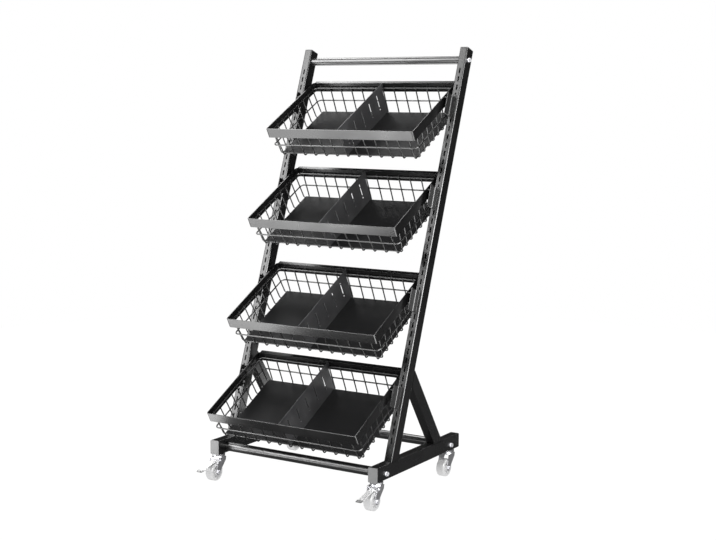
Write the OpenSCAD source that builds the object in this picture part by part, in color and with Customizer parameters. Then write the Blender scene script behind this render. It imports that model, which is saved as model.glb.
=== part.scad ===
// Produce display stand: a leaning slotted frame on swivel casters that carries four tilted wire baskets.
// Origin: on the floor, midway between the runners and halfway along them. -Y is the shopper's side.

/* [Base] */
// Width over the outer faces of the two runners
base_w = 680; // [620:5:760]
// Length of a runner from front to back, end caps included
runner_l = 560; // [500:5:640]
// Width of the runner's tube
runner_w = 35; // [33:1:40]
// Height of the runner's tube
runner_h = 50; // [44:1:60]
// Height of the runner's underside above the floor
runner_z = 90; // [88:1:110]
// Wall of every rectangular tube
tube_wall = 2; // [1.5:0.1:2.5]
// Outer corner radius of every rectangular tube
tube_r = 4; // [3:0.5:6]
// Diameter of the two round crossbars
crossbar_d = 32; // [28:1:34]
// Wall of the round bars
bar_wall = 1.5; // [1.2:0.1:2.5]
// Height of the crossbars' axis above the runner's underside
crossbar_rise = 20; // [19:1:22]
// Distance from the runner's front end to the front crossbar's axis
front_crossbar_y = 57; // [52:1:60]
// Distance from the runner's rear end to the rear crossbar's axis
rear_crossbar_y = 61; // [30:1:64]

/* [Uprights] */
// Height of the uprights' front top edge above the floor
stand_h = 1500; // [1490:5:1640]
// Backward lean of the uprights in degrees
lean = 20; // [18:0.5:22]
// Distance from the runner's front end to the foot of an upright
foot_y = 90; // [80:1:110]
// Width of the tube of the uprights and braces, seen from the front
upright_w = 30; // [26:1:32]
// Depth of the tube of the uprights and braces, from front to back
upright_d = 45; // [40:1:52]
// Width of a slot in an upright
slot_w = 5.5; // [5:0.1:7]
// Height of a slot
slot_h = 20; // [20:0.5:23]
// Distance from slot to slot
slot_pitch = 30; // [29:0.5:31]
// Distance from the foot to the lowest slot's centre
first_slot = 70; // [60:1:80]
// Number of slots in each upright
slot_count = 44; // [42:1:44]
// Diameter of the top bar
top_bar_d = 28; // [24:1:32]
// Distance from the uprights' top end to the top bar's axis
top_bar_drop = 40; // [34:1:50]

/* [Braces] */
// Angle between a brace and the vertical in degrees
brace_angle = 34.5; // [32:0.5:37]
// Distance from the runner's rear end to the back of a brace's foot
brace_foot_y = 127; // [100:1:140]

/* [Basket frames] */
// Tilt of the baskets towards the shopper in degrees
tilt = 28.8; // [26:0.2:30]
// Length of a basket's rim from front to back
rim_l = 343; // [328:1:350]
// Height of the rim's flat steel
rim_h = 35; // [30:1:36]
// Thickness of the rim's flat steel
rim_t = 3; // [2:0.5:4]
// Outer corner radius of the rim
rim_r = 8; // [6:1:14]
// Gap between a basket's rim and an upright on each side
side_gap = 10; // [8:0.5:12]
// Width of the lip that turns back from the rim's rear strip
back_lip = 12; // [6:1:16]
// Distance along the rim from its front to the uprights' front face
rim_ahead = 290; // [284:1:294]
// Height of the rim's plane over the lower hook's slot, measured along the upright
rim_over_hook = 80; // [78:1:84]
// Slot that carries the top basket's lower hook, counted from the lowest as 0
basket_1_slot = 38; // [37:1:38]
// Slot that carries the second basket's lower hook
basket_2_slot = 27; // [26:1:28]
// Slot that carries the third basket's lower hook
basket_3_slot = 15; // [15:1:17]
// Slot that carries the lowest basket's lower hook
basket_4_slot = 4; // [4:1:5]

/* [Basket wires] */
// Diameter of the wires of the walls and the floor
wire_d = 4.5; // [3.5:0.1:5]
// Diameter of the two ring wires
ring_d = 5; // [4:0.1:5.5]
// How deep crossing wires are welded into each other
weld_sink = 0.6; // [0.4:0.1:0.8]
// Number of wires that run from front to back
long_wires = 13; // [9:2:13]
// Distance between the wires that run from front to back
long_pitch = 45; // [40:0.5:45]
// Number of wires that run from side to side
cross_wires = 9; // [7:1:9]
// Distance between the wires that run from side to side
cross_pitch = 36.5; // [34:0.5:36.5]
// Radius of the bends between walls and floor
bend_r = 8; // [6.5:0.5:8.5]
// Depth of the wires' top ends below the rim's top edge
wire_top_depth = 14; // [10:1:24]
// Depth of the middle ring below the rim's top edge
mid_ring_depth = 70; // [64:1:78]
// Corner radius of the ring wires
ring_r = 14; // [10:1:16]
// Slope of the front wall in degrees
front_draft = 8; // [5:0.5:9]
// Slope of the back wall in degrees
back_draft = 4; // [2:0.5:6]
// Slope of the side walls in degrees
side_draft = 5; // [3:0.5:6]

/* [Floor plates and dividers] */
// Depth of the floor plates' top below the rim's top edge
floor_depth = 109; // [100:1:116]
// Thickness of the floor plates
plate_t = 1.5; // [1:0.1:3]
// Thickness of the divider
divider_t = 2; // [1.5:0.1:3]
// Number of slots in the divider
divider_slots = 5; // [3:1:5]
// Distance between the slots of the divider
divider_pitch = 58.5; // [54:0.5:60]
// Width of a slot in the divider
divider_slot_w = 6; // [4:0.5:8]
// Depth of the top of a divider slot below the top edge
divider_slot_top = 22; // [18:1:26]
// Length of a slot in the divider
divider_slot_l = 45; // [38:1:48]
// Distance from a divider slot's lower end to the small hole's centre
divider_hole_drop = 10; // [9:0.5:12]
// Diameter of the small holes in the divider
divider_hole_d = 7; // [5:0.5:8]

/* [Hangers] */
// Thickness of the hanger's sheet
hanger_t = 2.5; // [2:0.1:3]
// Length of a hanger along the upright
hanger_l = 75; // [70:1:78]
// Distance from the hanger's lower end to its lower hook's slot centre
hanger_tail = 14; // [12:1:16]
// Depth of the hanger's flange in front of the upright
flange_d = 32; // [26:1:36]
// Distance from the upright's inner side to the outer face of the flange
flange_over = 5; // [4:0.5:7]
// Width of the hanger's plate over the upright's inner edge
plate_over = 19; // [18:0.5:24]
// Radius of the bend between flange and plate
hanger_r = 2.5; // [1.5:0.5:3]
// Diameter of the spacers between the flange and the rim
spacer_d = 8; // [6:0.5:10]
// Depth of the spacers below the rim's plane, measured along the upright
spacer_drop = 37; // [35:1:44]
// Distance from spacer to spacer, and from the upright to the first one
spacer_pitch = 12; // [11:0.5:13]
// How far a hook reaches down behind the wall of the upright
hook_drop = 7; // [5:0.5:7.5]

/* [Casters] */
// Diameter of a wheel
wheel_d = 63; // [58:1:66]
// Width of a tyre
tyre_w = 30; // [24:1:32]
// Diameter at which the tyre meets the wheel centre
tyre_seat_d = 44; // [38:1:50]
// Distance from the swivel axis to the wheel's axle
trail = 28; // [22:1:32]
// Distance from the runner's front end to the front swivel axis
front_caster_y = 25; // [22:1:30]
// Distance from the runner's rear end to the rear swivel axis
rear_caster_y = 50; // [25:1:80]
// Diameter of the caster's threaded stem
stem_d = 10; // [8:1:12]
// Diameter of the fixed bearing cap under the runner
cap_d = 44; // [38:1:50]
// Thickness of the fork's steel
fork_t = 2.5; // [2:0.1:3]
// Diameter of the axle bolts
axle_d = 8; // [6:1:8]
// Reach of the brake pedal in front of its pin
pedal_l = 98; // [75:1:104]
// Width of the brake pedal
pedal_w = 20; // [16:1:22]

/* [Fasteners and fits] */
// Thread diameter of the bolts that hold the crossbars and the top bar
bolt_d = 8; // [6:1:8]
// How far each of these bolts reaches into its plug past the tube's inner face
bolt_reach = 20; // [14:1:24]
// Length of the plugs in the ends of the round bars
plug_l = 25; // [24:1:30]
// How far the plastic end caps reach into the tubes
cap_plug_l = 12; // [8:1:16]
// Play around the shank of each bolt
bolt_play = 0.2; // [0.1:0.05:0.4]
// Radial running clearance of axles and pins
run_fit = 0.05; // [0.02:0.01:0.08]
// Gap between faces that rest on each other
seat = 0.05; // [0.03:0.01:0.1]
// Gap between parts that move past each other
free_gap = 0.3; // [0.2:0.05:0.5]

/* [Hidden] */
$fn = 48;
cut = 1;
runner_front = -runner_l / 2;
runner_rear = runner_l / 2;
runner_top = runner_z + runner_h;
runner_x = base_w / 2 - runner_w / 2;
runner_in = base_w / 2 - runner_w;
upright_x = base_w / 2 - upright_w / 2;
upright_in = base_w / 2 - upright_w;
upright_l = (stand_h - runner_top) / cos(lean);
foot = runner_front + foot_y;
crossbar_z = runner_z + crossbar_rise;
crossbars_y = [runner_front + front_crossbar_y, runner_rear - rear_crossbar_y];
casters_y = [runner_front + front_caster_y, runner_rear - rear_caster_y];
cap_face = 2;
tube_in_r = tube_r - tube_wall + 0.5;

rim_w = 2 * upright_in - 2 * side_gap;
basket_slots = [basket_1_slot, basket_2_slot, basket_3_slot, basket_4_slot];
floor_m = -floor_depth;
cross_m = floor_m - plate_t - seat - wire_d / 2;
long_m = cross_m - wire_d + weld_sink;
wire_top = -wire_top_depth;
ring_in = (wire_d + ring_d) / 2 - weld_sink;
top_ring_m = wire_top - ring_d / 2 - weld_sink;
wall_seat = rim_t + seat + wire_d / 2;

wheel_r = wheel_d / 2;
cap_h = 6;
crown_t = 6.5;
crown_top = runner_z - cap_h - free_gap;
crown_z = crown_top - crown_t;
crown_front = 26;
crown_rear = 16;
rivet_h = 3;
hub_w = tyre_w + 4;
leg_in = hub_w / 2 + free_gap;
leg_out = leg_in + fork_t;
stem_up = 16;
brake_pin = [-16, wheel_d + 7];
brake_pin_d = 5;

// Outline of a rounded rectangle around the origin
module rounded(w, d, r) {
    square([w - 2 * r, d], center = true);
    square([w, d - 2 * r], center = true);
    for (x = [-1, 1], y = [-1, 1])
        translate([x * (w / 2 - r), y * (d / 2 - r)]) circle(r);
}

// Hollow rectangular tube along Z
module box_tube(w, d, l) {
    linear_extrude(l) difference() {
        rounded(w, d, tube_r);
        rounded(w - 2 * tube_wall, d - 2 * tube_wall, tube_in_r);
    }
}

// Cylinder along X around the origin
module x_rod(d, l) {
    rotate([0, 90, 0]) cylinder(d = d, h = l, center = true);
}

// Wire that runs down to the X axis and bends inwards around the origin
module bent_wire(l, r, angle, d) {
    translate([r, 0, 0]) cylinder(d = d, h = l);
    rotate([-90, 0, 0]) rotate_extrude(angle = angle) translate([r, 0]) circle(d = d);
}

// Moves from an upright's own frame, front face at y = 0 and foot at z = 0, to the stand
module on_upright() {
    translate([0, foot, runner_top]) rotate([-lean, 0, 0]) children();
}

function slot_s(i) = first_slot + i * slot_pitch;

// Moves from a basket's own frame, rim's front top edge at the origin, to the stand
module at_basket(i) {
    s = slot_s(basket_slots[i]) + rim_over_hook;
    translate([0, foot + s * sin(lean), runner_top + s * cos(lean)])
        rotate([tilt, 0, 0]) translate([0, -rim_ahead, 0]) children();
}

// Runner: tube with holes for the crossbar bolts and the caster stems
module runner(side) {
    color("#1c1d1f") difference() {
        translate([side * runner_x, runner_front + cap_face, runner_z + runner_h / 2])
            rotate([-90, 0, 0]) box_tube(runner_w, runner_h, runner_l - 2 * cap_face);
        for (y = crossbars_y) translate([side * runner_x, y, crossbar_z])
            x_rod(bolt_d + 2 * bolt_play, runner_w + 2 * cut);
        for (y = casters_y) translate([side * runner_x, y, runner_z - cut])
            cylinder(d = stem_d + 2 * bolt_play, h = tube_wall + 2 * cut);
    }
}

module runner_end_caps() {
    color("#6f7174") for (side = [-1, 1], end = [-1, 1])
        translate([side * runner_x, end * (runner_rear - cap_face), runner_z + runner_h / 2])
            rotate([-90 * end, 0, 0]) {
                linear_extrude(cap_face) rounded(runner_w, runner_h, tube_r);
                translate([0, 0, -cap_plug_l]) linear_extrude(cap_plug_l + seat)
                    rounded(runner_w - 2 * tube_wall - 2 * seat, runner_h - 2 * tube_wall - 2 * seat, tube_in_r);
            }
}

// Round crossbar between the runners
module crossbar(y) {
    color("#1c1d1f") translate([0, y, crossbar_z]) difference() {
        x_rod(crossbar_d, 2 * runner_in);
        x_rod(crossbar_d - 2 * bar_wall, 2 * runner_in + 2 * cut);
    }
}

module upright(side) {
    color("#1c1d1f") difference() {
        on_upright() difference() {
            translate([side * upright_x, upright_d / 2, 0])
                box_tube(upright_w, upright_d, upright_l - cap_face);
            for (i = [0 : slot_count - 1]) translate([side * upright_x, -cut, slot_s(i)])
                rotate([-90, 0, 0]) linear_extrude(tube_wall + 2 * cut) {
                    square([slot_w, slot_h - slot_w], center = true);
                    for (z = [-1, 1]) translate([0, z * (slot_h - slot_w) / 2]) circle(d = slot_w);
                }
            translate([side * upright_x, upright_d / 2, upright_l - top_bar_drop])
                x_rod(bolt_d + 2 * bolt_play, upright_w + 2 * cut);
        }
        translate([side * upright_x, foot + upright_d / 2, runner_top - upright_d / 2])
            cube([2 * upright_w, 2 * upright_d, upright_d], center = true);
    }
}

module upright_caps() {
    color("#1c1d1f") on_upright() for (side = [-1, 1])
        translate([side * upright_x, upright_d / 2, upright_l - cap_face]) {
            linear_extrude(cap_face) rounded(upright_w, upright_d, tube_r);
            translate([0, 0, -cap_plug_l]) linear_extrude(cap_plug_l + seat)
                rounded(upright_w - 2 * tube_wall - 2 * seat, upright_d - 2 * tube_wall - 2 * seat, tube_in_r);
        }
}

module top_bar() {
    color("#1c1d1f") on_upright() translate([0, upright_d / 2, upright_l - top_bar_drop]) difference() {
        x_rod(top_bar_d, 2 * upright_in);
        x_rod(top_bar_d - 2 * bar_wall, 2 * upright_in + 2 * cut);
    }
}

// Space between the runner's top, the back of the upright and the brace's two sides, in Y and Z
module brace_side(inset) {
    back_y = runner_rear - brace_foot_y;
    thick = (upright_d - 2 * inset) / cos(brace_angle);
    rear = back_y - inset / cos(brace_angle);
    reach = 600;
    intersection() {
        polygon([[rear, 0], [rear - reach * tan(brace_angle), reach],
            [rear - thick - reach * tan(brace_angle), reach], [rear - thick, 0]]);
        translate([foot + upright_d / cos(lean), 0])
            polygon([[0, 0], [reach, 0], [reach, reach], [reach * tan(lean), reach]]);
    }
}

module brace(side) {
    color("#1c1d1f") translate([side * upright_x, 0, runner_top]) rotate([90, 0, 90]) difference() {
        translate([0, 0, -upright_w / 2]) linear_extrude(upright_w) brace_side(0);
        translate([0, 0, -upright_w / 2 + tube_wall]) linear_extrude(upright_w - 2 * tube_wall)
            brace_side(tube_wall);
    }
}

// Threaded plugs in the ends of the round bars
module bar_end_plugs() {
    color("#9a9c9e") {
        for (side = [-1, 1], y = crossbars_y)
            translate([side * (runner_in - plug_l / 2 - seat), y, crossbar_z])
                end_plug(crossbar_d - 2 * bar_wall);
        on_upright() for (side = [-1, 1])
            translate([side * (upright_in - plug_l / 2 - seat), upright_d / 2, upright_l - top_bar_drop])
                end_plug(top_bar_d - 2 * bar_wall);
    }
}

module end_plug(d) {
    difference() {
        x_rod(d - 2 * seat, plug_l);
        x_rod(bolt_d + 2 * run_fit, plug_l + 2 * cut);
    }
}

// Hexagon bolt and washer whose head stands out along side times X
module side_bolt(side, through) {
    head_h = 0.66 * bolt_d;
    washer_t = 1.6;
    rotate([0, 90 * side, 0]) {
        translate([0, 0, -through]) cylinder(d = bolt_d, h = through + washer_t);
        cylinder(d = 2 * bolt_d, h = washer_t);
        translate([0, 0, washer_t]) cylinder(d = 1.85 * bolt_d, h = head_h, $fn = 6);
    }
}

module frame_bolts() {
    color("#d6d7d8") {
        for (side = [-1, 1], y = crossbars_y) translate([side * (base_w / 2 + seat), y, crossbar_z])
            side_bolt(side, runner_w + bolt_reach);
        on_upright() for (side = [-1, 1])
            translate([side * (base_w / 2 + seat), upright_d / 2, upright_l - top_bar_drop])
                side_bolt(side, upright_w + bolt_reach);
    }
}

// Places what belongs to one caster, with its swivel axis at the origin on the floor
module at_caster(side, end) {
    translate([side * runner_x, casters_y[end], 0]) children();
}

// Stem, fixed bearing cap and the rivet head that carries the fork
module caster_stems() {
    color("#3b3d40") for (side = [-1, 1], end = [0, 1]) at_caster(side, end) {
        translate([0, 0, runner_z - cap_h]) cylinder(d = cap_d, h = cap_h - seat);
        translate([0, 0, crown_z - rivet_h - free_gap])
            cylinder(d = stem_d, h = runner_z + stem_up - crown_z + rivet_h + free_gap);
        translate([0, 0, crown_z - rivet_h - free_gap]) cylinder(d = stem_d + 6, h = rivet_h);
    }
}

module stem_nuts() {
    nut_h = 0.8 * stem_d;
    color("#b9bbbd") for (side = [-1, 1], end = [0, 1]) at_caster(side, end)
        translate([0, 0, runner_z + tube_wall + seat]) difference() {
            cylinder(d = 1.85 * stem_d, h = nut_h, $fn = 6);
            translate([0, 0, -cut]) cylinder(d = stem_d + 2 * run_fit, h = nut_h + 2 * cut);
        }
}

// Side outline of a fork leg: a crown that narrows to the boss round the axle, in Y and Z
module leg_outline() {
    boss_r = 10;
    translate([-trail, wheel_r]) circle(boss_r);
    polygon([[crown_rear, crown_z + fork_t], [-crown_front, crown_z + fork_t], [-trail - boss_r, wheel_r],
        [-trail + boss_r, wheel_r], [crown_rear - 2, crown_z - boss_r]]);
}

module fork(side, end) {
    braked = end == 0;
    color("#cfd1d3") at_caster(side, end) difference() {
        union() {
            translate([0, 0, crown_z]) cylinder(d = cap_d - 4, h = crown_t);
            translate([-leg_out, -crown_front, crown_z])
                cube([2 * leg_out, crown_front + crown_rear, fork_t]);
            for (s = [-1, 1]) translate([s * (leg_in + fork_t / 2), 0, 0]) rotate([90, 0, 90])
                linear_extrude(fork_t, center = true) leg_outline();
        }
        translate([0, 0, crown_z - cut]) cylinder(d = stem_d + 2 * run_fit, h = crown_t + 2 * cut);
        translate([0, -trail, wheel_r]) x_rod(axle_d + 2 * run_fit, 2 * leg_out + 2 * cut);
        if (braked) translate([0, brake_pin.x, brake_pin.y])
            x_rod(brake_pin_d + 2 * run_fit, 2 * leg_out + 2 * cut);
    }
}

// Axle bolt with its nut, and on the braked casters the pedal's rivet
module axle(side, end) {
    head_h = 0.6 * axle_d;
    color("#c2c4c6") at_caster(side, end) {
        translate([0, -trail, wheel_r]) {
            x_rod(axle_d, 2 * (leg_out + seat) + cut);
            for (s = [-1, 1]) translate([s * (leg_out + seat + head_h / 2), 0, 0]) rotate([0, 90, 0])
                cylinder(d = 1.7 * axle_d, h = head_h, center = true, $fn = 6);
        }
        if (end == 0) translate([0, brake_pin.x, brake_pin.y]) {
            x_rod(brake_pin_d, 2 * (leg_out + seat) + cut);
            for (s = [-1, 1]) translate([s * (leg_out + seat + 0.75), 0, 0]) x_rod(brake_pin_d + 3, 1.5);
        }
    }
}

// Wheel centre: hub, web and the seat of the tyre
module wheel_centre(side, end) {
    seat_w = tyre_w - 6;
    hub_r = axle_d / 2 + 6;
    color("#e4e5e6") at_caster(side, end) translate([0, -trail, wheel_r]) rotate([0, 90, 0]) rotate_extrude()
        polygon([[axle_d / 2 + run_fit, -hub_w / 2], [hub_r, -hub_w / 2], [hub_r + 1.5, -5],
            [tyre_seat_d / 2 - 4, -4], [tyre_seat_d / 2 - 2, -seat_w / 2],
            [tyre_seat_d / 2 - seat, -seat_w / 2],
            [tyre_seat_d / 2 - seat, seat_w / 2], [tyre_seat_d / 2 - 2, seat_w / 2], [tyre_seat_d / 2 - 4, 4],
            [hub_r + 1.5, 5], [hub_r, hub_w / 2], [axle_d / 2 + run_fit, hub_w / 2]]);
}

// Tyre with a flat tread and rounded shoulders
module tyre(side, end) {
    shoulder = 5;
    band = wheel_r - tyre_seat_d / 2 + 2 * shoulder;
    color("#d9dadb") at_caster(side, end) translate([0, -trail, wheel_r]) rotate([0, 90, 0])
        rotate_extrude() difference() {
            translate([wheel_r - band / 2, 0]) rounded(band, tyre_w, shoulder);
            translate([0, -tyre_w]) square([tyre_seat_d / 2, 2 * tyre_w]);
        }
}

// Brake pedal: a pressed lever that turns on a rivet above the wheel
module pedal(side) {
    eye_r = brake_pin_d / 2 + 2.5;
    slope = -16.5;
    color("#8d8f91") at_caster(side, 0) translate([0, brake_pin.x, brake_pin.y]) difference() {
        union() {
            x_rod(2 * eye_r, pedal_w);
            translate([pedal_w / 2, 0, 0]) rotate([0, -90, 0]) linear_extrude(pedal_w) rotate(slope)
                polygon([[eye_r - 3, 0], [eye_r, 0], [eye_r - 1, -pedal_l + 18], [eye_r + 3, -pedal_l + 12],
                    [eye_r + 3, -pedal_l], [eye_r, -pedal_l], [eye_r - 4, -pedal_l + 16]]);
        }
        x_rod(brake_pin_d + 2 * run_fit, pedal_w + 2 * cut);
    }
}

// Outward distance of a wall wire's axis from its top point's place, at depth m
function lean_in(m, draft) = (wire_top - m) * tan(draft);

// One wall of welded wires in a basket's own frame. Outward is +X, the wall's top axis is at x = 0.
// places are the wires' positions along Y. ring_l and ring_y are the straight lengths and centres of the
// two rings.
module wall(draft, bottom_m, places, ring_l, ring_y, corners) {
    turn_m = bottom_m + bend_r - bend_r * sin(draft);
    turn_x = -lean_in(turn_m, draft);
    centre_x = turn_x - bend_r * cos(draft);
    for (y = places) translate([centre_x, y, bottom_m + bend_r]) rotate([0, draft, 0])
        bent_wire((wire_top - turn_m) / cos(draft), bend_r, 90 - draft, wire_d);
    translate([0, ring_y[0], 0])
        ring_part(ring_out(top_ring_m, draft, -1), top_ring_m, ring_l[0], corners);
    translate([0, ring_y[1], 0])
        ring_part(ring_out(-mid_ring_depth, draft, 1), -mid_ring_depth, ring_l[1], corners);
}

// Straight length of a ring wire along Y, with the ring's rounded corners at its ends
module ring_part(x, m, l, corners) {
    translate([x, 0, m]) {
        if (!corners) rotate([90, 0, 0]) cylinder(d = ring_d, h = l, center = true);
        if (corners) for (s = [0, 1]) mirror([0, s, 0]) translate([-ring_r, l / 2, 0]) rotate([90, 0, 0])
            bent_wire(l / 2, ring_r, 90, ring_d);
    }
}

// Places of the basket's wires and of the straight lengths of its rings
function long_x() = [for (i = [0 : long_wires - 1]) (i - (long_wires - 1) / 2) * long_pitch];
function cross_u() =
    [for (i = [0 : cross_wires - 1]) (i - (cross_wires - 1) / 2) * cross_pitch + cross_shift];
function ring_out(m, draft, way) = -lean_in(m, draft) + way * ring_in;
side_top = rim_w / 2 - wall_seat;
front_top = rim_l / 2 - wall_seat;
cross_shift = 2.8;
function side_ring_l(m, way) = 2 * front_top + ring_out(m, front_draft, way) + ring_out(m, back_draft, way)
    - 2 * ring_r;
function end_ring_l(m, way) = 2 * (side_top + ring_out(m, side_draft, way)) - 2 * ring_r - 2 * seat;
function ring_centre(m, way) = (ring_out(m, back_draft, way) - ring_out(m, front_draft, way)) / 2;
side_shift = [ring_centre(top_ring_m, -1), ring_centre(-mid_ring_depth, 1)];

// Where the floor's straight wires start, measured from the wall's top axis
function bend_in(bottom_m, draft) = lean_in(bottom_m + bend_r - bend_r * sin(draft), draft)
    + bend_r * cos(draft);

module basket_wires(i) {
    side_ls = [side_ring_l(top_ring_m, -1), side_ring_l(-mid_ring_depth, 1)];
    end_ls = [end_ring_l(top_ring_m, -1), end_ring_l(-mid_ring_depth, 1)];
    front_u = rim_l / 2 - front_top + bend_in(long_m, front_draft) + seat;
    back_u = rim_l / 2 + front_top - bend_in(long_m, back_draft) - seat;
    color("#1a1b1d") at_basket(i) {
        translate([0, rim_l / 2 - front_top, 0]) rotate([0, 0, -90])
            wall(front_draft, long_m, long_x(), end_ls, [0, 0], false);
        translate([0, rim_l / 2 + front_top, 0]) rotate([0, 0, 90])
            wall(back_draft, long_m, long_x(), end_ls, [0, 0], false);
        for (s = [0, 1]) mirror([s, 0, 0]) translate([side_top, rim_l / 2, 0])
            wall(side_draft, cross_m, cross_u(), side_ls, side_shift, true);
        union() {
            for (x = long_x()) translate([x, back_u, long_m]) rotate([90, 0, 0])
                cylinder(d = wire_d, h = back_u - front_u);
            for (u = cross_u()) translate([0, rim_l / 2 + u, cross_m])
                x_rod(wire_d, 2 * (side_top - bend_in(cross_m, side_draft) - seat));
        }
    }
}

// Rim: flat steel bent round, with a lip that turns back from the top of its rear strip
module basket_rim(i) {
    color("#1f2022") at_basket(i) union() {
        translate([0, rim_l / 2, -rim_h]) linear_extrude(rim_h) difference() {
            rounded(rim_w, rim_l, rim_r);
            rounded(rim_w - 2 * rim_t, rim_l - 2 * rim_t, rim_r - rim_t);
        }
        translate([-rim_w / 2 + rim_r, rim_l - rim_t, -rim_t])
            cube([rim_w - 2 * rim_r, rim_t + back_lip, rim_t]);
    }
}

// Two flat sheets that lie on the cross wires, one each side of the divider, cut where the wires bend up
module basket_floor(i) {
    inner = divider_t / 2 + free_gap;
    outer = side_top - bend_in(cross_m, side_draft);
    front_u = rim_l / 2 - front_top + bend_in(long_m, front_draft);
    back_u = rim_l / 2 + front_top - bend_in(long_m, back_draft);
    color("#242527") at_basket(i) for (s = [0, 1]) mirror([s, 0, 0])
        translate([inner, front_u, floor_m - plate_t]) cube([outer - inner, back_u - front_u, plate_t]);
}

// Removable divider: its ears sit on the top ring and its lower edge on the cross wires between the sheets
module basket_divider(i) {
    ear_m = top_ring_m + ring_d / 2 + seat;
    over_wires = wire_top + wire_d / 2 * sin(max(front_draft, back_draft)) + seat;
    top_in = rim_t + 0.5;
    wire_clear = wall_seat + wire_d / 2 + free_gap;
    ring_clear = wall_seat + ring_in + ring_d / 2 + 1;
    front_in = ring_clear + lean_in(top_ring_m, front_draft);
    back_in = ring_clear + lean_in(top_ring_m, back_draft);
    bend_m = long_m + bend_r;
    side_front = max(front_in, wire_clear + lean_in(bend_m, front_draft) + 0.5);
    side_back = max(back_in, wire_clear + lean_in(bend_m, back_draft) + 0.5);
    low_m = floor_m - plate_t;
    low_front = max(front_in, wire_clear + bend_in(long_m, front_draft) - wire_d / 2);
    low_back = max(back_in, wire_clear + bend_in(long_m, back_draft) - wire_d / 2);
    hole_m = -divider_slot_top - divider_slot_l - divider_hole_drop;
    color("#232426") at_basket(i) translate([-divider_t / 2, 0, 0]) rotate([90, 0, 90])
        linear_extrude(divider_t) difference() {
            polygon([[top_in, 0], [rim_l - top_in, 0], [rim_l - top_in, over_wires],
                [rim_l - wire_clear, over_wires], [rim_l - wire_clear, ear_m], [rim_l - back_in, ear_m],
                [rim_l - side_back, bend_m], [rim_l - low_back, low_m], [low_front, low_m],
                [side_front, bend_m], [front_in, ear_m], [wire_clear, ear_m], [wire_clear, over_wires],
                [top_in, over_wires]]);
            for (k = [0 : divider_slots - 1])
                translate([rim_l / 2 - 3.5 + (k - (divider_slots - 1) / 2) * divider_pitch, 0]) {
                    translate([0, -divider_slot_top - divider_slot_l / 2])
                        square([divider_slot_w, divider_slot_l], center = true);
                    translate([0, hole_m]) circle(d = divider_hole_d);
                }
        }
}

// Hangers: on each side a bent angle, held to the rim by two spacers, with two hooks in the upright's slots.
// A hook's lower edge meets the slot's round end a little above its lowest point.
module basket_hangers(i) {
    low = slot_s(basket_slots[i]);
    root_x = upright_in + flange_over;
    hook_in = tube_wall + free_gap;
    slot_r = slot_w / 2;
    hook_seat = slot_r - sqrt(slot_r * slot_r - hanger_t * hanger_t / 4) + seat;
    spacer_z = low + rim_over_hook - spacer_drop;
    color("#202123") for (s = [0, 1]) mirror([s, 0, 0]) on_upright() {
        translate([root_x, -seat, low - hanger_tail]) linear_extrude(hanger_l) difference() {
            union() {
                translate([-hanger_t, -flange_d]) square([hanger_t, flange_d]);
                translate([-hanger_t, -hanger_t])
                    square([plate_over - flange_over + hanger_t, hanger_t]);
                translate([0, -hanger_t - hanger_r]) square(hanger_r);
            }
            translate([hanger_r, -hanger_t - hanger_r]) circle(hanger_r);
        }
        for (k = [1, 2]) translate([rim_w / 2 + seat, -k * spacer_pitch, spacer_z]) rotate([0, 90, 0])
            cylinder(d = spacer_d, h = root_x - hanger_t / 2 - rim_w / 2 - seat);
        for (k = [0, 1]) translate([upright_x - hanger_t / 2, 0, low + k * slot_pitch - slot_h / 2 + hook_seat]) {
            translate([0, -hanger_t, 0]) cube([hanger_t, hanger_t + hook_in + hanger_t, slot_h / 2]);
            translate([0, hook_in, -hook_drop]) cube([hanger_t, hanger_t, hook_drop + slot_h / 2]);
        }
    }
}

runner(-1);  // runner_left
runner(1);  // runner_right
crossbar(crossbars_y[0]);  // front_crossbar
crossbar(crossbars_y[1]);  // rear_crossbar
upright(-1);  // upright_left
upright(1);  // upright_right
brace(-1);  // brace_left
brace(1);  // brace_right
top_bar();
runner_end_caps();
upright_caps();
bar_end_plugs();
frame_bolts();
caster_stems();
stem_nuts();
basket_rim(0);  // basket_1_rim
basket_wires(0);  // basket_1_wires
basket_floor(0);  // basket_1_floor
basket_hangers(0);  // basket_1_hangers
basket_divider(0);  // basket_1_divider
basket_rim(1);  // basket_2_rim
basket_wires(1);  // basket_2_wires
basket_floor(1);  // basket_2_floor
basket_hangers(1);  // basket_2_hangers
basket_divider(1);  // basket_2_divider
basket_rim(2);  // basket_3_rim
basket_wires(2);  // basket_3_wires
basket_floor(2);  // basket_3_floor
basket_hangers(2);  // basket_3_hangers
basket_divider(2);  // basket_3_divider
basket_rim(3);  // basket_4_rim
basket_wires(3);  // basket_4_wires
basket_floor(3);  // basket_4_floor
basket_hangers(3);  // basket_4_hangers
basket_divider(3);  // basket_4_divider
fork(-1, 0);  // caster_front_left_fork
axle(-1, 0);  // caster_front_left_axle
wheel_centre(-1, 0);  // caster_front_left_wheel
tyre(-1, 0);  // caster_front_left_tyre
pedal(-1);  // caster_front_left_pedal
fork(1, 0);  // caster_front_right_fork
axle(1, 0);  // caster_front_right_axle
wheel_centre(1, 0);  // caster_front_right_wheel
tyre(1, 0);  // caster_front_right_tyre
pedal(1);  // caster_front_right_pedal
fork(-1, 1);  // caster_rear_left_fork
axle(-1, 1);  // caster_rear_left_axle
wheel_centre(-1, 1);  // caster_rear_left_wheel
tyre(-1, 1);  // caster_rear_left_tyre
fork(1, 1);  // caster_rear_right_fork
axle(1, 1);  // caster_rear_right_axle
wheel_centre(1, 1);  // caster_rear_right_wheel
tyre(1, 1);  // caster_rear_right_tyre
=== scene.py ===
import math

import bmesh
import bpy
from mathutils import Matrix, Vector


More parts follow.
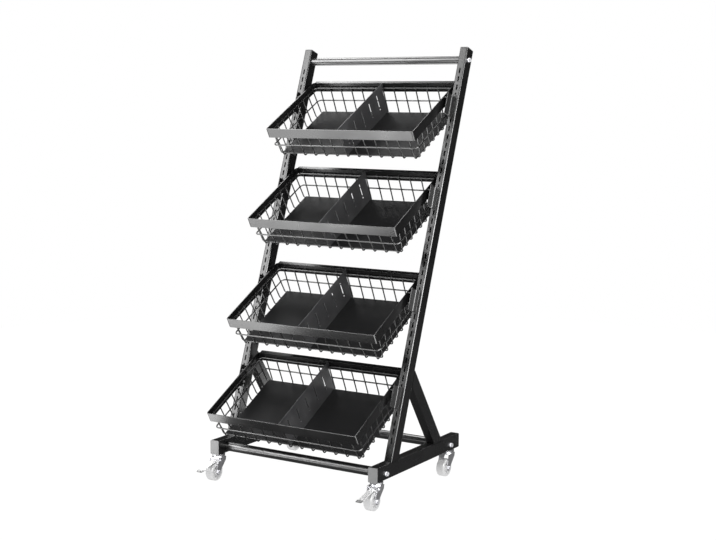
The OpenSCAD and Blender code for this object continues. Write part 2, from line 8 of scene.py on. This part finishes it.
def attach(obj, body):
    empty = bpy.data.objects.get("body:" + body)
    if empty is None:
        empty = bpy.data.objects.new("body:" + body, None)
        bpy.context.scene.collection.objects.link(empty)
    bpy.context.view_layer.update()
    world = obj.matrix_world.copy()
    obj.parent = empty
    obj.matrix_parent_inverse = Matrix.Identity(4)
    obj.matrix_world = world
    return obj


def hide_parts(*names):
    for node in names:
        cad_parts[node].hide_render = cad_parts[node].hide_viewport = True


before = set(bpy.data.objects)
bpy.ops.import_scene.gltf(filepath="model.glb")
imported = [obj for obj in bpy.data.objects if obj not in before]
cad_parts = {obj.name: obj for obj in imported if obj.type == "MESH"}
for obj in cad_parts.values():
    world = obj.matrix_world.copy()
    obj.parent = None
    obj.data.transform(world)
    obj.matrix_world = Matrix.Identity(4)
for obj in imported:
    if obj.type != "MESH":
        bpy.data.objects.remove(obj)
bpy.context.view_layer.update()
scene = bpy.context.scene
scene.view_settings.view_transform = "Standard"
scene.view_settings.look = "None"

# The camera stands to the shopper's right of the stand, a little above its middle, with a
# moderate telephoto lens. Its place was solved from the photograph's edges.
camera = bpy.data.cameras.new("camera")
camera.sensor_width = 36
camera.sensor_fit = "HORIZONTAL"
camera.lens = 67.92
camera.clip_end = 60
camera_object = bpy.data.objects.new("camera", camera)
camera_object.location = (2.5327, -3.8955, 1.3206)
camera_object.rotation_euler = (math.radians(82.77), math.radians(-0.27), math.radians(32.15))
scene.collection.objects.link(camera_object)
scene.camera = camera_object


# The studio is a pale floor in a white room. Both look dim in reflections, so that the glossy
# black paint keeps its dark sides, and large soft lights round the stand draw its highlights.
def dim_in_reflections(tree, bright, dim, surface):
    """Gives a surface one shader for the camera and plain light, and a dim one for reflections."""
    ray = tree.nodes.new("ShaderNodeLightPath")
    choice = tree.nodes.new("ShaderNodeMixShader")
    tree.links.new(ray.outputs["Is Glossy Ray"], choice.inputs[0])
    tree.links.new(bright.outputs[0], choice.inputs[1])
    tree.links.new(dim.outputs[0], choice.inputs[2])
    tree.links.new(choice.outputs[0], surface)


floor = bpy.data.meshes.new("studio_floor")
outline = bmesh.new()
bmesh.ops.create_circle(outline, cap_ends=True, segments=96, radius=3.6)
outline.to_mesh(floor)
outline.free()
floor_object = bpy.data.objects.new("studio_floor", floor)
scene.collection.objects.link(floor_object)
floor_paint = bpy.data.materials.new("studio_floor")
floor_paint.use_nodes = True
floor_nodes = floor_paint.node_tree.nodes
floor_bright = floor_nodes["Principled BSDF"]
floor_bright.inputs["Base Color"].default_value = (0.06, 0.06, 0.06, 1)
floor_bright.inputs["Roughness"].default_value = 0.8
floor_bright.inputs["Specular IOR Level"].default_value = 0.1
floor_bright.inputs["Emission Color"].default_value = (1, 1, 1, 1)
floor_bright.inputs["Emission Strength"].default_value = 0.97
floor_dim = floor_nodes.new("ShaderNodeEmission")
floor_dim.inputs["Color"].default_value = (1, 1, 1, 1)
floor_dim.inputs["Strength"].default_value = 0.14
dim_in_reflections(floor_paint.node_tree, floor_bright, floor_dim,
                   floor_nodes["Material Output"].inputs["Surface"])
floor.materials.append(floor_paint)

room = bpy.data.worlds.new("studio_room")
room.use_nodes = True
scene.world = room
room_nodes = room.node_tree.nodes
room_nodes.clear()
room_bright = room_nodes.new("ShaderNodeBackground")
room_bright.inputs["Color"].default_value = (1, 1, 1, 1)
room_bright.inputs["Strength"].default_value = 1.0
room_dim = room_nodes.new("ShaderNodeBackground")
room_dim.inputs["Color"].default_value = (0.05, 0.05, 0.05, 1)
room_dim.inputs["Strength"].default_value = 1.0
room_output = room_nodes.new("ShaderNodeOutputWorld")
dim_in_reflections(room.node_tree, room_bright, room_dim, room_output.inputs["Surface"])


def soft_light(name, place, target, width, height, radiance):
    """A rectangular light that shows in reflections only, as the white room gives plain light."""
    light = bpy.data.lights.new(name, "AREA")
    light.shape = "RECTANGLE"
    light.size = width
    light.size_y = height
    light.energy = radiance * math.pi * width * height
    holder = bpy.data.objects.new(name, light)
    turn = (Vector(target) - Vector(place)).to_track_quat("-Z", "Y").to_matrix().to_4x4()
    holder.matrix_world = Matrix.Translation(place) @ turn
    holder.visible_camera = False
    holder.visible_diffuse = False
    scene.collection.objects.link(holder)


def bounce_light(name, place, width, height, radiance):
    """A soft light that lies near the floor and faces straight up, as pale ground does."""
    x, y, z = place
    soft_light(name, place, (x, y, z + 2.0), width, height, radiance)


middle = (0, 0, 0.9)
soft_light("key_left", (-2.6, -2.75, 2.8), middle, width=1.6, height=3.6, radiance=11.0)
bounce_light("bounce_low_left", (-1.18, -1.1, 0.03), width=1.56, height=1.58, radiance=6.5)
bounce_light("floor_glow", (-0.28, -0.78, 0.02), width=0.85, height=0.36, radiance=7.0)
bounce_light("bounce_low_right", (1.35, -0.62, 0.03), width=1.6, height=0.9, radiance=9.0)
soft_light("soft_right", (4.1, -1.1, 2.2), middle, width=2.8, height=2.0, radiance=24.0)
soft_light("soft_front_right", (3.7, -3.6, 2.9), middle, width=3.0, height=2.2, radiance=23.0)
soft_light("soft_front", (1.6, -4.4, 3.5), middle, width=2.4, height=1.6, radiance=14.0)
soft_light("overhead", (-2.2, 1.25, 4.15), (0, 0, 0.8), width=1.6, height=1.7, radiance=9.0)
soft_light("soft_back", (0.9, 4.0, 4.3), middle, width=3.0, height=1.6, radiance=8.0)
bounce_light("bounce_back", (-0.6, 1.2, 0.03), width=2.0, height=1.3, radiance=4.0)


# The base is welded from rectangular and round steel tube and powder coated black. The runners
# carry grey plastic end caps, and zinc plated bolts pass through them into the crossbars' plugs.
class Level:
    """One value or colour in a material. Arithmetic on it adds the Math nodes that work it out."""

    def __init__(self, finish, socket):
        self.finish = finish
        self.socket = socket

    def _maths(self, operation, *values):
        return self.finish.node("ShaderNodeMath", {"operation": operation},
                                dict(enumerate(values)))

    def __add__(self, other):
        return self._maths("ADD", self, other)

    def __radd__(self, other):
        return self._maths("ADD", other, self)

    def __sub__(self, other):
        return self._maths("SUBTRACT", self, other)

    def __rsub__(self, other):
        return self._maths("SUBTRACT", other, self)

    def __mul__(self, other):
        return self._maths("MULTIPLY", self, other)

    def __rmul__(self, other):
        return self._maths("MULTIPLY", other, self)

    def above(self, low, high):
        """0 below low, 1 above high, and smooth between them."""
        return self.finish.node("ShaderNodeMapRange", {"interpolation_type": "SMOOTHSTEP"},
                                {"Value": self, "From Min": low, "From Max": high})


class Finish:
    """A material built up on one Principled shader from patterns on Object coordinates."""

    def __init__(self, name):
        self.material = bpy.data.materials.new(name)
        self.material.use_nodes = True
        self.tree = self.material.node_tree
        self.shader = self.tree.nodes["Principled BSDF"]
        self.place = self.node("ShaderNodeTexCoord", {}, {}, "Object")

    def node(self, kind, settings, sockets, output=0):
        made = self.tree.nodes.new(kind)
        for name, value in settings.items():
            setattr(made, name, value)
        for name, value in sockets.items():
            self.join(made.inputs[name], value)
        return Level(self, made.outputs[output])

    def join(self, socket, value):
        if isinstance(value, Level):
            self.tree.links.new(value.socket, socket)
        else:
            socket.default_value = value

    def noise(self, scale, detail, roughness=0.5):
        return self.node("ShaderNodeTexNoise", {}, {"Vector": self.place, "Scale": scale,
                                                    "Detail": detail, "Roughness": roughness})

    def blend(self, mask, first, second):
        mask_input, first_input, second_input, colour_output = 0, 6, 7, 2
        return self.node("ShaderNodeMix", {"data_type": "RGBA"},
                         {mask_input: mask, first_input: first, second_input: second},
                         colour_output)

    def bump(self, height, strength, distance):
        return self.node("ShaderNodeBump", {},
                         {"Height": height, "Strength": strength, "Distance": distance})

    def wear(self, *sockets):
        """Sets the shader's inputs and gives the finished material."""
        for name, value in sockets:
            self.join(self.shader.inputs[name], value)
        return self.material


def grey(level, tint=0.0):
    """A grey of the given linear level, a little bluer with a higher tint."""
    return (level, level, level * (1 + tint), 1)


def powder_coat(name, level, gloss, peel, dust=0.35, shine=0.5, index=1.5):
    """Black powder coat: fine orange peel, softly uneven gloss and a trace of handling dust."""
    finish = Finish(name)
    patches = finish.noise(scale=7.0, detail=3.0).above(low=0.42, high=0.72)
    specks = finish.noise(scale=900.0, detail=2.0).above(low=0.60, high=0.78)
    clean = grey(level, tint=0.05)
    dusty = grey(level * 1.9, tint=0.03)
    speck = grey(level * 3.2, tint=0.02)
    coat = finish.blend(specks * 0.22, finish.blend(patches * dust, clean, dusty), speck)
    fine_peel = finish.noise(scale=520.0, detail=1.5)
    broad_peel = finish.noise(scale=150.0, detail=1.0)
    skin = finish.bump(fine_peel + broad_peel * 0.6, strength=peel, distance=0.0006)
    return finish.wear(("Base Color", coat),
                       ("Roughness", patches * 0.07 + specks * 0.05 + gloss),
                       ("Specular IOR Level", shine), ("IOR", index), ("Normal", skin))


def plastic(name, level, gloss, grain):
    """Moulded plastic with a fine grain and slightly cloudy gloss."""
    finish = Finish(name)
    cloud = finish.noise(scale=60.0, detail=3.0)
    tone = finish.blend(cloud * 0.6, grey(level * 0.9), grey(level * 1.12, tint=0.01))
    skin = finish.bump(finish.noise(grain, detail=3.0, roughness=0.65),
                       strength=0.3, distance=0.0004)
    return finish.wear(("Base Color", tone), ("Roughness", cloud * 0.12 + gloss),
                       ("Normal", skin))


def plate_metal(name, level, gloss, tint=0.03, grey_ahead_of=None):
    """Plated steel with faint clouds and fine drawing marks, and a darker grey ahead of a depth.
    """
    finish = Finish(name)
    cloud = finish.noise(scale=90.0, detail=3.0)
    marks = finish.noise(scale=1400.0, detail=2.0)
    brightest = 0.98
    tone = finish.blend(cloud * 0.7, grey(level * 0.86, tint),
                        grey(min(level * 1.08, brightest), tint))
    if grey_ahead_of is not None:
        half_edge = 0.002
        depth = finish.node("ShaderNodeSeparateXYZ", {}, {0: finish.place}, "Y")
        behind = depth.above(grey_ahead_of - half_edge, grey_ahead_of + half_edge)
        tone = finish.blend(1 - behind, tone, grey(0.4))
    return finish.wear(("Base Color", tone), ("Metallic", 1.0),
                       ("Roughness", cloud * 0.12 + marks * 0.05 + gloss),
                       ("Normal", finish.bump(marks, strength=0.12, distance=0.0002)))


def finish_node(node, material):
    """Puts a material on every slot of a node of the frame."""
    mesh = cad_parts[node].data
    if not mesh.materials:
        mesh.materials.append(material)
    for index in range(len(mesh.materials)):
        mesh.materials[index] = material


frame_coat = powder_coat("frame_powder_coat", level=0.006, gloss=0.25, peel=0.06)
bar_coat = powder_coat("bar_powder_coat", level=0.003, gloss=0.3, peel=0.05, shine=1.0,
                       index=1.58)
zinc = plate_metal("bright_zinc", level=0.9, gloss=0.42)
for node in ("runner_left", "runner_right"):
    finish_node(node, frame_coat)
for node in ("front_crossbar", "rear_crossbar"):
    finish_node(node, bar_coat)
finish_node("runner_end_caps", plastic("runner_cap_plastic", level=0.24, gloss=0.5, grain=2200.0))
finish_node("frame_bolts", zinc)
finish_node("stem_nuts", zinc)
finish_node("bar_end_plugs", plate_metal("turned_plugs", level=0.5, gloss=0.35))

# The uprights and braces are rectangular tube too, and a round bar ties the uprights' tops.
# The slots are punched before coating, and black plastic caps close the upper ends.
for node in ("upright_left", "upright_right", "brace_left", "brace_right"):
    finish_node(node, frame_coat)
finish_node("top_bar", bar_coat)
finish_node("upright_caps", plastic("upright_cap_plastic", level=0.03, gloss=0.4, grain=1800.0))


# Each basket's rim is flat steel bent round and welded, its grilles are welded from straight and
# bent wire, two thin sheets lie on the floor wires and a loose sheet divides the space. All of it
# is powder coated black.
def eased_copy(node, body, material, width, segments=2):
    """A copy of a sheet or strip with its cut edges eased, which stands in for the node."""
    weld_gap = 1e-5
    flat_angle = math.radians(1.0)
    cut_angle = math.radians(40)
    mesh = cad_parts[node].data.copy()
    shape = bmesh.new()
    shape.from_mesh(mesh)
    bmesh.ops.remove_doubles(shape, verts=shape.verts, dist=weld_gap)
    bmesh.ops.dissolve_limit(shape, angle_limit=flat_angle, verts=shape.verts, edges=shape.edges,
                             use_dissolve_boundaries=False, delimit=set())
    cut_edges = [edge for edge in shape.edges
                 if len(edge.link_faces) == 2 and edge.calc_face_angle(0) > cut_angle]
    bmesh.ops.bevel(shape, geom=cut_edges, offset=width, offset_type="OFFSET", segments=segments,
                    profile=0.5, affect="EDGES", clamp_overlap=True, material=-1)
    shape.to_mesh(mesh)
    shape.free()
    for face in mesh.polygons:
        face.use_smooth = True
    mesh.materials.clear()
    mesh.materials.append(material)
    piece = bpy.data.objects.new(node + "_eased", mesh)
    scene.collection.objects.link(piece)
    smooth = piece.modifiers.new("weighted", "WEIGHTED_NORMAL")
    smooth.keep_sharp = False
    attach(piece, body)
    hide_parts(node)


basket_coat = powder_coat("basket_powder_coat", level=0.006, gloss=0.27, peel=0.05)
wire_coat = powder_coat("wire_powder_coat", level=0.006, gloss=0.28, peel=0.05, shine=0.9)
sheet_coat = powder_coat("sheet_powder_coat", level=0.016, gloss=0.5, peel=0.2, dust=0.5,
                         shine=0.1)
divider_coat = powder_coat("divider_powder_coat", level=0.05, gloss=0.4, peel=0.3, dust=0.7,
                           shine=0.4)
for number in range(1, 5):
    basket = f"basket_{number}"
    divider = f"divider_{number}"
    finish_node(basket + "_wires", wire_coat)
    eased_copy(basket + "_rim", basket, basket_coat, width=0.0005)
    finish_node(basket + "_floor", sheet_coat)
    eased_copy(basket + "_hangers", basket, basket_coat, width=0.0008, segments=3)
    eased_copy(basket + "_divider", divider, divider_coat, width=0.0004)

# The casters have a pressed fork in bright chrome, a white moulded wheel centre and a pale smooth
# tyre on a zinc axle bolt. The front two carry a zinc plated brake pedal that is a darker grey at
# its tip.
chrome = plate_metal("fork_chrome", level=0.86, gloss=0.22)
wheel_white = plastic("wheel_centre_plastic", level=0.8, gloss=0.35, grain=900.0)
tyre_pale = plastic("tyre_rubber", level=0.72, gloss=0.32, grain=700.0)
pedal_zinc = plate_metal("pedal_zinc", level=0.88, gloss=0.45, tint=0.0, grey_ahead_of=-0.354)
finish_node("caster_stems", plate_metal("bearing_cap_zinc", level=0.3, gloss=0.35))
for end in ("front", "rear"):
    for side in ("left", "right"):
        caster = f"caster_{end}_{side}"
        finish_node(caster + "_fork", chrome)
        finish_node(caster + "_axle", zinc)
        finish_node(caster + "_wheel", wheel_white)
        finish_node(caster + "_tyre", tyre_pale)
        if end == "front":
            finish_node(caster + "_pedal", pedal_zinc)
